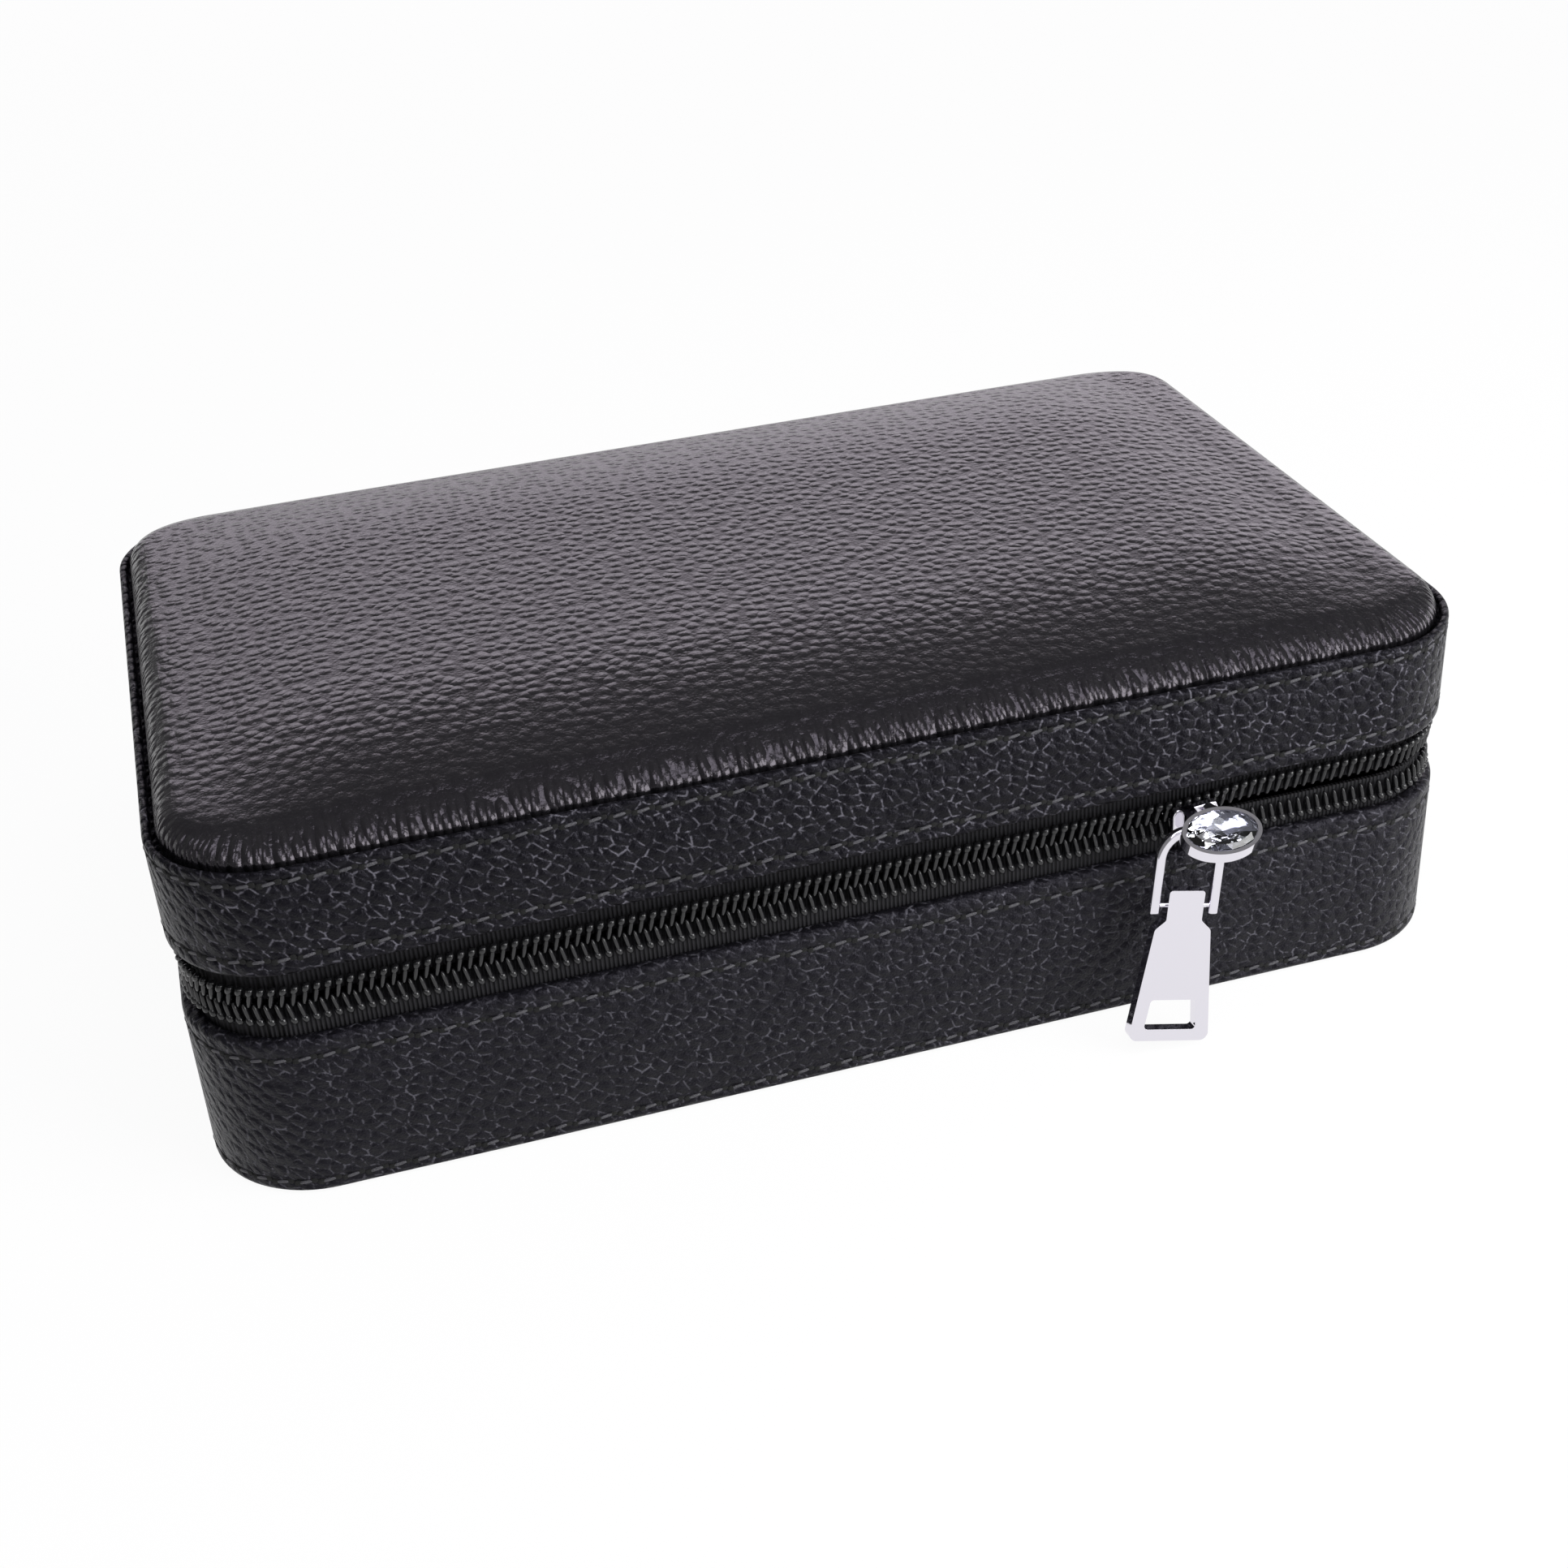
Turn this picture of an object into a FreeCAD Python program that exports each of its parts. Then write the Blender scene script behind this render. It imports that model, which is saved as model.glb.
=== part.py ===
"""A zip-round leather jewellery case: padded lid, lined base with ring rolls and divided bays.

Millimetres. The origin is the centre of the underside, +X runs along the length, the zip's front run
is on the -Y side and +Z is up. An inset is a distance inwards from the outer leather face, and a
stand-off is a distance outwards from the front leather face.
"""

import FreeCAD
import Part

import math
import os

# Outer case
LENGTH = 200.0
WIDTH = 125.0
CORNER_RADIUS = 17.0
RIM_HEIGHT = 56.0
BASE_EDGE = 27.3
LID_EDGE = 38.5

# Layers of a wall, from the outside in
WRAP = 2.2
TAPE = 0.8
BOARD = 2.0
LINING = 0.8
PANEL = 1.2
EDGE_STEP = 0.5
SEAM_ALLOWANCE = 7.0

# Padded lid top
GROOVE = 1.1
PAD_SEAT = 53.2
PAD_SIDE = 2.2
PAD_NOSE = 6.6
PAD_RISE = 4.0
PAD_CROWN = 1.1
PAD_SKIN = 1.2
NOSE_STEPS = 4
CROWN_INSETS = (16.0, 30.0, 44.0)

# Zip
COIL_WIDTH = 2.1
COIL_HEIGHT = 1.4
CHAIN_GAP = 1.6
ZIP_END_Y = 45.5

# Slider
SLIDER_X = 51.5
SLIDER_LENGTH = 7.4
SLIDER_NOSE = 6.2
SLIDER_TAIL = 5.4
PLATE = 1.4
PLATE_CLEARANCE = 0.3
BACK_PLATE = 1.2
POST_LENGTH = 2.4
POST_THICKNESS = 1.2
POST_FROM_NOSE = 1.8

# Crown, crystal and its setting
CROWN_LENGTH = 2.0
CROWN_OUTBOARD = 0.3
CROWN_WALL = 0.8
CROWN_MOUTH = 1.4
PIVOT_CLEARANCE = 0.4
SETTING_X = 51.2
SETTING_STAND_OFF = 10.0
SETTING_RISE = 4.05
SETTING_TILT = 70.0
SETTING_HALF_LENGTH = 6.2
SETTING_HALF_WIDTH = 4.4
SETTING_DEPTH = 2.0
SETTING_WALL = 0.6
SETTING_FLOOR = 0.7
STEM_RADIUS = 1.1
STEM_OUTBOARD = 2.2
STEM_RISE = 1.7
CRYSTAL_CLEARANCE = 0.1
CRYSTAL_CROWN = 1.1
CRYSTAL_TABLE_SHARE = 0.55
CRYSTAL_SIDES = 12

# Pull: bail, pin and tab
BAIL_X = 49.1
BAIL_STAND_OFF = 5.0
BAIL_RISE = 1.5
BAIL_WIDTH = 9.4
BAIL_WIRE = 1.5
BAIL_BEND = 4.4
BAIL_REACH = 11.85
BAIL_TOE = 1.3
PULL_LEAN = 11.7
PULL_YAW = 4.2
PULL_SKEW = 9.8
PIN_RADIUS = 0.4
PIN_CLEARANCE = 0.3
TAB_THICKNESS = 2.0
TAB_NECK_WIDTH = 5.7
TAB_NECK_TOP = 2.6
TAB_NECK_LENGTH = 2.2
TAB_SHOULDER_WIDTH = 9.0
TAB_SHOULDER_DROP = 1.5
TAB_FOOT_WIDTH = 13.1
TAB_LENGTH = 22.0
TAB_FOOT_RADIUS = 1.3
WINDOW_HEIGHT = 4.9
WINDOW_BAR = 1.9
WINDOW_TOP_WIDTH = 7.2
WINDOW_FOOT_WIDTH = 8.4
WINDOW_RADIUS = 0.6

# Inside of the base
ROLL_COUNT = 6
ROLL_WIDTH = 13.2
ROLL_GAP = 0.6
ROLL_HEIGHT = 19.0
ROLL_END_GAP = 0.4
DIVIDER = 3.0
DIVIDER_HEIGHT = 21.0
DIVIDER_COUNT = 2

# Mirror in the lid
MIRROR_LENGTH = 140.0
MIRROR_WIDTH = 78.0
MIRROR_GLASS = 1.8
MIRROR_CLEARANCE = 0.2
MIRROR_BORDER = 6.0
MIRROR_LIP = 0.4

# Derived places
FRONT = -WIDTH / 2
ZIP_Z = (BASE_EDGE + LID_EDGE) / 2
TAPE_INSET = WRAP
BOARD_INSET = WRAP + TAPE
LINING_INSET = BOARD_INSET + BOARD
CAVITY_INSET = LINING_INSET + LINING
PAD_INSET = WRAP + GROOVE
BASE_FLOOR = PANEL + BOARD
CAVITY_FLOOR = BASE_FLOOR + LINING
BASE_INNER_TOP = BASE_EDGE - EDGE_STEP
LID_INNER_EDGE = LID_EDGE + EDGE_STEP
LID_PLATE = PAD_SEAT - BOARD
LID_CEILING = LID_PLATE - LINING
HALF_GAP = CHAIN_GAP / 2
CAVITY_HALF_LENGTH = LENGTH / 2 - CAVITY_INSET
CAVITY_HALF_WIDTH = WIDTH / 2 - CAVITY_INSET
ROLL_PITCH = ROLL_WIDTH + ROLL_GAP
PARTITION_X = -CAVITY_HALF_LENGTH + ROLL_COUNT * ROLL_PITCH
BAY_START = PARTITION_X + DIVIDER
PIVOT = FreeCAD.Vector(BAIL_X, FRONT - BAIL_STAND_OFF, ZIP_Z + BAIL_RISE)
X_AXIS = FreeCAD.Vector(1, 0, 0)
Y_AXIS = FreeCAD.Vector(0, 1, 0)
Z_AXIS = FreeCAD.Vector(0, 0, 1)


def vector(x, y, z):
    return FreeCAD.Vector(x, y, z)


def block(x0, x1, y0, y1, z0, z1):
    return Part.makeBox(x1 - x0, y1 - y0, z1 - z0, vector(x0, y0, z0))


def rounded_rectangle(length, width, radius, z):
    """A wire of four lines and four quarter arcs, centred on the Z axis."""
    half_x, half_y = length / 2, width / 2
    corners = ((1, 1, 0), (-1, 1, 90), (-1, -1, 180), (1, -1, 270))
    arcs = []
    for sign_x, sign_y, first in corners:
        centre = vector(sign_x * (half_x - radius), sign_y * (half_y - radius), z)
        points = []
        for turn in (0, 45, 90):
            angle = math.radians(first + turn)
            points.append(centre + vector(radius * math.cos(angle), radius * math.sin(angle), 0))
        arcs.append(points)
    edges = []
    for index, points in enumerate(arcs):
        edges.append(Part.Arc(*points).toShape())
        edges.append(Part.LineSegment(points[2], arcs[(index + 1) % 4][0]).toShape())
    return Part.Wire(edges)


def case_outline(inset, z):
    """The case's own outline, drawn in by an inset, with its corners kept concentric."""
    radius = max(CORNER_RADIUS - inset, 2.0)
    return rounded_rectangle(LENGTH - 2 * inset, WIDTH - 2 * inset, radius, z)


def slab(inset, z0, z1):
    return Part.Face(case_outline(inset, z0)).extrude(vector(0, 0, z1 - z0))


def wall(outer_inset, inner_inset, z0, z1):
    return slab(outer_inset, z0, z1).cut(slab(inner_inset, z0, z1))


def prism(points, direction):
    return Part.Face(Part.makePolygon(points + points[:1])).extrude(direction)


def back_zone(z0, z1):
    """The space behind the two ends of the zip."""
    return block(-LENGTH, LENGTH, ZIP_END_Y, WIDTH, z0, z1)


# Base: leather wall and underside, stiff board, lining

def base_wrap():
    return wall(0, WRAP, 0, BASE_EDGE)


def base_panel():
    return slab(WRAP, 0, PANEL)


def base_board():
    seam_foot = BASE_EDGE - SEAM_ALLOWANCE
    tray = slab(WRAP, PANEL, seam_foot).fuse(slab(BOARD_INSET, seam_foot, BASE_INNER_TOP))
    return tray.cut(slab(LINING_INSET, BASE_FLOOR, BASE_INNER_TOP)).removeSplitter()


def base_lining():
    outer = slab(LINING_INSET, BASE_FLOOR, BASE_INNER_TOP)
    return outer.cut(slab(CAVITY_INSET, CAVITY_FLOOR, BASE_INNER_TOP))


# Lid: leather wall, stiff board, lining

def lid_wrap():
    return wall(0, WRAP, LID_EDGE, RIM_HEIGHT)


def lid_board():
    seam_head = LID_EDGE + SEAM_ALLOWANCE
    cap = slab(WRAP, seam_head, PAD_SEAT).fuse(slab(BOARD_INSET, LID_INNER_EDGE, seam_head))
    return cap.cut(slab(LINING_INSET, LID_INNER_EDGE, LID_PLATE)).removeSplitter()


def lid_lining():
    outer = slab(LINING_INSET, LID_INNER_EDGE, LID_PLATE)
    return outer.cut(slab(CAVITY_INSET, LID_INNER_EDGE, LID_CEILING))


# Padded top: foam under a leather cover with a rounded nose and a low crown

def pad_form(skin):
    """The domed pad, drawn in by a skin thickness all over but its seat."""
    side_top = PAD_SEAT + PAD_SIDE
    sections = [(0.0, PAD_SEAT)]
    for step in range(NOSE_STEPS + 1):
        angle = math.radians(90 * step / NOSE_STEPS)
        inset = PAD_NOSE * (1 - math.cos(angle))
        sections.append((inset, side_top + PAD_RISE * math.sin(angle) - skin))
    for inset in CROWN_INSETS:
        share = (inset - PAD_NOSE) / (CROWN_INSETS[-1] - PAD_NOSE)
        lift = PAD_CROWN * (1 - (1 - share) ** 2)
        sections.append((inset, side_top + PAD_RISE + lift - skin))
    wires = [case_outline(PAD_INSET + skin + inset, z) for inset, z in sections]
    return Part.makeLoft(wires, True, True)


def lid_pad_foam():
    return pad_form(PAD_SKIN)


def lid_pad_cover():
    return pad_form(0.0).cut(pad_form(PAD_SKIN))


# Zip: two tapes sewn between wrap and board, and the coil on each

def zip_tape(z0, z1):
    return wall(TAPE_INSET, BOARD_INSET, z0, z1).cut(back_zone(z0, z1))


def zip_coil(z0, z1):
    return wall(TAPE_INSET - COIL_HEIGHT, TAPE_INSET, z0, z1).cut(back_zone(z0, z1))


def hinge_strip(z0, z1):
    """The leather strip that closes the gap behind the zip and lets the lid turn."""
    return wall(TAPE_INSET, BOARD_INSET, z0, z1).common(back_zone(z0, z1))


# Slider

def slider_outline(y):
    tail, nose = SLIDER_X - SLIDER_LENGTH / 2, SLIDER_X + SLIDER_LENGTH / 2
    waist = SLIDER_X
    half_tail, half_nose = SLIDER_TAIL / 2, SLIDER_NOSE / 2
    bevel = (SLIDER_NOSE - SLIDER_TAIL) / 2
    outline = [
        (tail, -half_tail + bevel), (tail + bevel, -half_tail), (waist, -half_tail),
        (nose - bevel, -half_nose), (nose, -half_nose + bevel),
        (nose, half_nose - bevel), (nose - bevel, half_nose), (waist, half_tail),
        (tail + bevel, half_tail), (tail, half_tail - bevel),
    ]
    return [vector(x, y, ZIP_Z + z) for x, z in outline]


def slider_body():
    """Front and back plates, joined by the post that runs between the two coils."""
    front_face = FRONT + TAPE_INSET - COIL_HEIGHT - PLATE_CLEARANCE
    back_face = FRONT + BOARD_INSET + PLATE_CLEARANCE
    front = prism(slider_outline(front_face), vector(0, -PLATE, 0))
    back = prism(slider_outline(back_face), vector(0, BACK_PLATE, 0))
    post_end = SLIDER_X + SLIDER_LENGTH / 2 - POST_FROM_NOSE
    half_post = POST_THICKNESS / 2
    post_start = post_end - POST_LENGTH
    post = block(post_start, post_end, front_face, back_face, ZIP_Z - half_post, ZIP_Z + half_post)
    return front.fuse([back, post]).removeSplitter()


def plate_face():
    return FRONT + TAPE_INSET - COIL_HEIGHT - PLATE_CLEARANCE - PLATE


def setting_centre():
    return vector(SETTING_X, FRONT - SETTING_STAND_OFF, ZIP_Z + SETTING_RISE)


def seat_in_setting(shape):
    """Carries a shape from a local frame, facing +Z, to the tilted setting."""
    shape.rotate(vector(0, 0, 0), X_AXIS, 90 - SETTING_TILT)
    shape.translate(setting_centre())
    return shape


def ellipse_slab(half_length, half_width, z0, z1):
    ellipse = Part.Ellipse(vector(0, 0, z0), half_length, half_width)
    return Part.Face(Part.Wire(ellipse.toShape())).extrude(vector(0, 0, z1 - z0))


def crystal_setting():
    blank = ellipse_slab(SETTING_HALF_LENGTH, SETTING_HALF_WIDTH, -SETTING_DEPTH, 0)
    pocket_length = SETTING_HALF_LENGTH - SETTING_WALL
    pocket_width = SETTING_HALF_WIDTH - SETTING_WALL
    pocket = ellipse_slab(pocket_length, pocket_width, SETTING_FLOOR - SETTING_DEPTH, 0)
    return seat_in_setting(blank.cut(pocket))


def facet_ring(share, z):
    """A polygon inside the setting's pocket, as the crystal's girdle or table."""
    half_length = (SETTING_HALF_LENGTH - SETTING_WALL - CRYSTAL_CLEARANCE) * share
    half_width = (SETTING_HALF_WIDTH - SETTING_WALL - CRYSTAL_CLEARANCE) * share
    points = []
    for side in range(CRYSTAL_SIDES + 1):
        angle = 2 * math.pi * (side % CRYSTAL_SIDES) / CRYSTAL_SIDES
        points.append(vector(half_length * math.cos(angle), half_width * math.sin(angle), z))
    return Part.makePolygon(points)


def crystal():
    levels = ((1.0, SETTING_FLOOR - SETTING_DEPTH), (1.0, 0.0), (CRYSTAL_TABLE_SHARE, CRYSTAL_CROWN))
    return seat_in_setting(Part.makeLoft([facet_ring(share, z) for share, z in levels], True, True))


def yaw(shape):
    """Turns a shape about the upright line through the bail's pivot, so that the pull faces aslant."""
    shape.rotate(PIVOT, Z_AXIS, -PULL_YAW)
    return shape


def slider_crown():
    """The hook that the bail turns in, open at the front, and the stem that carries the setting."""
    bore = BAIL_WIRE / 2 + PIVOT_CLEARANCE
    outer = bore + CROWN_WALL
    x0 = BAIL_X + CROWN_OUTBOARD - CROWN_LENGTH / 2
    x1 = x0 + CROWN_LENGTH
    hook = block(x0, x1, PIVOT.y, FRONT, PIVOT.z - outer, PIVOT.z + outer)
    hook = hook.fuse(Part.makeCylinder(outer, CROWN_LENGTH, vector(x0, PIVOT.y, PIVOT.z), X_AXIS))
    half_mouth = CROWN_MOUTH / 2
    mouth = block(x0, x1, PIVOT.y - outer, PIVOT.y, PIVOT.z - half_mouth, PIVOT.z + half_mouth)
    groove = Part.makeCylinder(bore, 4 * CROWN_LENGTH, PIVOT - vector(2 * CROWN_LENGTH, 0, 0), X_AXIS)
    hook = yaw(hook.cut(mouth)).cut(lean(groove))
    behind = block(-LENGTH, LENGTH, plate_face(), WIDTH, 0, RIM_HEIGHT)
    stem_foot = vector(SETTING_X + STEM_OUTBOARD, FRONT, ZIP_Z + STEM_RISE)
    stem_way = setting_centre() + vector(STEM_OUTBOARD, STEM_RADIUS, 0) - stem_foot
    stem = Part.makeCylinder(STEM_RADIUS, stem_way.Length, stem_foot, stem_way)
    above = ellipse_slab(SETTING_HALF_LENGTH, SETTING_HALF_WIDTH, -SETTING_DEPTH, SETTING_STAND_OFF)
    stem = stem.cut(behind).cut(seat_in_setting(above))
    return Part.makeCompound([hook.cut(behind).removeSplitter(), stem])


# Pull

def lean(shape):
    """Turns a piece of the pull from hanging plumb and square to its rest about the bail's pivot."""
    shape.rotate(PIVOT, Y_AXIS, PULL_SKEW)
    shape.rotate(PIVOT, X_AXIS, -PULL_LEAN)
    return yaw(shape)


def pin_bar(radius, half_length):
    return Part.makeCylinder(radius, 2 * half_length, PIVOT + vector(-half_length, 0, -BAIL_REACH), X_AXIS)


def pull_bail():
    half = BAIL_WIDTH / 2
    foot = -BAIL_REACH - BAIL_TOE
    diagonal = BAIL_BEND * (1 - math.sqrt(0.5))

    def at(x, z):
        return PIVOT + vector(x, 0, z)

    path = Part.Wire([
        Part.LineSegment(at(-half, foot), at(-half, -BAIL_BEND)).toShape(),
        Part.Arc(at(-half, -BAIL_BEND), at(diagonal - half, -diagonal), at(BAIL_BEND - half, 0)).toShape(),
        Part.LineSegment(at(BAIL_BEND - half, 0), at(half - BAIL_BEND, 0)).toShape(),
        Part.Arc(at(half - BAIL_BEND, 0), at(half - diagonal, -diagonal), at(half, -BAIL_BEND)).toShape(),
        Part.LineSegment(at(half, -BAIL_BEND), at(half, foot)).toShape(),
    ])
    section = Part.Wire(Part.makeCircle(BAIL_WIRE / 2, at(-half, foot), Z_AXIS))
    wire = path.makePipeShell([section], True, False)
    return lean(wire.cut(pin_bar(PIN_RADIUS, half + BAIL_WIRE)))


def pull_pin():
    return lean(pin_bar(PIN_RADIUS, BAIL_WIDTH / 2 + BAIL_WIRE / 2))


def pull_tab():
    """A flared plate with a narrow neck for the pin and a window near its foot."""
    y = PIVOT.y + TAB_THICKNESS / 2
    depth = vector(0, -TAB_THICKNESS, 0)

    def outline(rows):
        right = [PIVOT + vector(width / 2, y - PIVOT.y, z - BAIL_REACH) for width, z in rows]
        left = [PIVOT + vector(-width / 2, y - PIVOT.y, z - BAIL_REACH) for width, z in reversed(rows)]
        return right + left

    def across(shape):
        return [e for e in shape.Edges if abs(e.tangentAt(e.FirstParameter).y) > 0.99]

    shoulder = -TAB_NECK_LENGTH - TAB_SHOULDER_DROP
    plate = prism(outline([
        (TAB_NECK_WIDTH, TAB_NECK_TOP), (TAB_NECK_WIDTH, -TAB_NECK_LENGTH),
        (TAB_SHOULDER_WIDTH, shoulder), (TAB_FOOT_WIDTH, -TAB_LENGTH),
    ]), depth)
    foot_z = PIVOT.z - BAIL_REACH - TAB_LENGTH
    foot_edges = [e for e in across(plate) if abs(e.CenterOfMass.z - foot_z) < 0.01]
    plate = plate.makeFillet(TAB_FOOT_RADIUS, foot_edges)
    window_foot = WINDOW_BAR - TAB_LENGTH
    window = prism(outline([
        (WINDOW_TOP_WIDTH, window_foot + WINDOW_HEIGHT), (WINDOW_FOOT_WIDTH, window_foot),
    ]), depth)
    window = window.makeFillet(WINDOW_RADIUS, across(window))
    return lean(plate.cut(window).cut(pin_bar(PIN_RADIUS + PIN_CLEARANCE, TAB_FOOT_WIDTH)))


# Inside of the base

def ring_roll(index):
    """A foam roll with a rounded top, lying across the case and standing on the lining."""
    x0 = -CAVITY_HALF_LENGTH + ROLL_GAP / 2 + index * ROLL_PITCH
    x1 = x0 + ROLL_WIDTH
    y = -CAVITY_HALF_WIDTH + ROLL_END_GAP
    radius = ROLL_WIDTH / 2
    shoulder = CAVITY_FLOOR + ROLL_HEIGHT - radius
    path = ((x0, shoulder), (x0, CAVITY_FLOOR), (x1, CAVITY_FLOOR), (x1, shoulder))
    corners = [vector(x, y, z) for x, z in path]
    edges = [Part.LineSegment(a, b).toShape() for a, b in zip(corners, corners[1:])]
    edges.append(Part.Arc(corners[3], vector(x0 + radius, y, shoulder + radius), corners[0]).toShape())
    roll = Part.Face(Part.Wire(edges)).extrude(vector(0, 2 * (CAVITY_HALF_WIDTH - ROLL_END_GAP), 0))
    return roll.common(slab(CAVITY_INSET + ROLL_GAP / 2, CAVITY_FLOOR, CAVITY_FLOOR + ROLL_HEIGHT))


def partition():
    return block(PARTITION_X, BAY_START, -CAVITY_HALF_WIDTH, CAVITY_HALF_WIDTH, CAVITY_FLOOR,
                 CAVITY_FLOOR + DIVIDER_HEIGHT)


def divider_y(index):
    bays = DIVIDER_COUNT + 1
    return -CAVITY_HALF_WIDTH + 2 * CAVITY_HALF_WIDTH * (index + 1) / bays


def bay_divider(index):
    y = divider_y(index)
    return block(BAY_START, CAVITY_HALF_LENGTH, y - DIVIDER / 2, y + DIVIDER / 2, CAVITY_FLOOR,
                 CAVITY_FLOOR + DIVIDER_HEIGHT)


# Mirror in the lid

def plate_slab(length, width, z0, z1):
    return block(-length / 2, length / 2, -width / 2, width / 2, z0, z1)


def mirror():
    return plate_slab(MIRROR_LENGTH, MIRROR_WIDTH, LID_CEILING - MIRROR_GLASS, LID_CEILING)


def mirror_frame():
    low = LID_CEILING - MIRROR_GLASS - MIRROR_LIP
    opening = (MIRROR_LENGTH + 2 * MIRROR_CLEARANCE, MIRROR_WIDTH + 2 * MIRROR_CLEARANCE)
    outer = plate_slab(opening[0] + 2 * MIRROR_BORDER, opening[1] + 2 * MIRROR_BORDER, low, LID_CEILING)
    return outer.cut(plate_slab(opening[0], opening[1], low, LID_CEILING))


def all_parts():
    lower_foot = BASE_EDGE - SEAM_ALLOWANCE
    upper_head = LID_EDGE + SEAM_ALLOWANCE
    parts = {
        "base_wrap": base_wrap(),
        "base_panel": base_panel(),
        "base_board": base_board(),
        "base_lining": base_lining(),
        "lid_wrap": lid_wrap(),
        "lid_board": lid_board(),
        "lid_lining": lid_lining(),
        "lid_pad_foam": lid_pad_foam(),
        "lid_pad_cover": lid_pad_cover(),
        "zip_tape_lower": zip_tape(lower_foot, ZIP_Z - HALF_GAP),
        "zip_tape_upper": zip_tape(ZIP_Z + HALF_GAP, upper_head),
        "zip_coil_lower": zip_coil(ZIP_Z - HALF_GAP - COIL_WIDTH, ZIP_Z - HALF_GAP),
        "zip_coil_upper": zip_coil(ZIP_Z + HALF_GAP, ZIP_Z + HALF_GAP + COIL_WIDTH),
        "hinge_strip_lower": hinge_strip(lower_foot, ZIP_Z - HALF_GAP),
        "hinge_strip_upper": hinge_strip(ZIP_Z + HALF_GAP, upper_head),
        "slider_body": slider_body(),
        "slider_crown": slider_crown(),
        "crystal_setting": crystal_setting(),
        "crystal": crystal(),
        "pull_bail": pull_bail(),
        "pull_pin": pull_pin(),
        "pull_tab": pull_tab(),
        "partition": partition(),
        "mirror": mirror(),
        "mirror_frame": mirror_frame(),
    }
    for index in range(ROLL_COUNT):
        parts[f"ring_roll_{index + 1}"] = ring_roll(index)
    for index in range(DIVIDER_COUNT):
        parts[f"bay_divider_{index + 1}"] = bay_divider(index)
    return parts


def main():
    os.makedirs("parts", exist_ok=True)
    for name, shape in all_parts().items():
        if not shape.isValid():
            print("not valid:", name)
        shape.exportStep(os.path.join("parts", name + ".step"))


main()
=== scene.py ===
import math

import bmesh
import bpy
from mathutils import Matrix, Quaternion, Vector


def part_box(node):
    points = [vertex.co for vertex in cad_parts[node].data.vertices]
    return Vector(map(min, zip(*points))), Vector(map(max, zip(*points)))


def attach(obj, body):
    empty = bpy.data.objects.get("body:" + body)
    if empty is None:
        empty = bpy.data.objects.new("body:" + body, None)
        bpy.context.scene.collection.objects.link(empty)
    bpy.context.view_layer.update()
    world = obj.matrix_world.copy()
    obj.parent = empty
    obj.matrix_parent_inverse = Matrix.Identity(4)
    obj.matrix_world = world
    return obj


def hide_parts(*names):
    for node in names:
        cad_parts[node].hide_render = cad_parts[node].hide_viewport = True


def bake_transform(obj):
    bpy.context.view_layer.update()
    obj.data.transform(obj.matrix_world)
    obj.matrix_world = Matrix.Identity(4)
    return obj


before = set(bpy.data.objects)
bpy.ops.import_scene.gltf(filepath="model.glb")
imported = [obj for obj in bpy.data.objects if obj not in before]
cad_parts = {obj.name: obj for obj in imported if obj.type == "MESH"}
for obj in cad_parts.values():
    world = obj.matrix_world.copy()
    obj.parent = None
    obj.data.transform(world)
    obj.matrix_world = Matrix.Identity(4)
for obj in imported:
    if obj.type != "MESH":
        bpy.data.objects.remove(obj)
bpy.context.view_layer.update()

# Sizes of the object are in millimetres. An inset is a distance inwards from the outer leather face.
MM = 0.001

# The case, as in the solids
LENGTH, WIDTH, CORNER_RADIUS = 200.0, 125.0, 17.0
RIM_HEIGHT, BASE_EDGE, LID_EDGE = 56.0, 27.3, 38.5
WRAP, TAPE = 2.2, 0.8
TAPE_INSET = WRAP
BOARD_INSET = WRAP + TAPE
ZIP_Z = (BASE_EDGE + LID_EDGE) / 2
FRONT = -WIDTH / 2

# Steps round the case's outline and the least radius of its corners, then steps of bevels and round bars
LONG_STEPS, SHORT_STEPS, CORNER_STEPS = 56, 34, 22
LEAST_RADIUS = 0.6
BEVEL_SEGMENTS = 3
CAPSULE_RINGS, CAPSULE_SIDES, CAPSULE_FULLNESS = 7, 8, 0.45

# Leather walls: round edges, a thinner and lower rim than the solid one, dents along the stitching
EDGE_ROUND, INNER_ROUND, INNER_FOOT = 1.0, 0.7, 0.4
RIM, RIM_TOP, RIM_STEP = 1.2, 55.6, 0.2
EDGE_STEPS, RIM_STEPS = 5, 10
DENT_DEPTH, DENT_REACH = 0.22, 0.9
DENT_SHAPE = ((-1.0, 0.0), (-0.4, 0.6), (0.0, 1.0), (0.4, 0.6), (1.0, 0.0))

# Stitching: heights of its rows, its thread and its needle holes, which are black blobs of painted shade
BASE_ROWS = (2.0, BASE_EDGE - 3.1)
LID_ROWS = (LID_EDGE + 2.8, RIM_HEIGHT - 2.3)
STITCH_PITCH, STITCH_INSET, STITCH_SLANT = 3.45, 0.2, 0.16
STITCH_LENGTH, STITCH_RADIUS = 2.0, 0.3
HOLE_HALVES, HOLE_REACH, HOLE_SINK = (0.55, 0.55, 0.24), 0.6, 0.04

# Padded top: wider and fuller than the solid one, with a nose that is narrower and higher at the ends
PAD_INSET, PAD_SEAT, PAD_SIDE = 1.95, 53.2, 2.2
PAD_NOSE, PAD_RISE = 6.6, 2.7
PAD_END_NOSE, PAD_END_RISE = 3.2, 3.4
PAD_FLANK = 12.0
PAD_FLANK_INSETS = (7.4, 8.4, 9.6, 10.8, PAD_FLANK)
PAD_CROWN, PAD_SLOPE = 3.7, 36.0
PAD_NOSE_STEPS, PAD_TOP_STEPS = 18, 32

# How far the pad's flat map runs on from its last ring to its middle
PAD_MAP_END = 3

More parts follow.
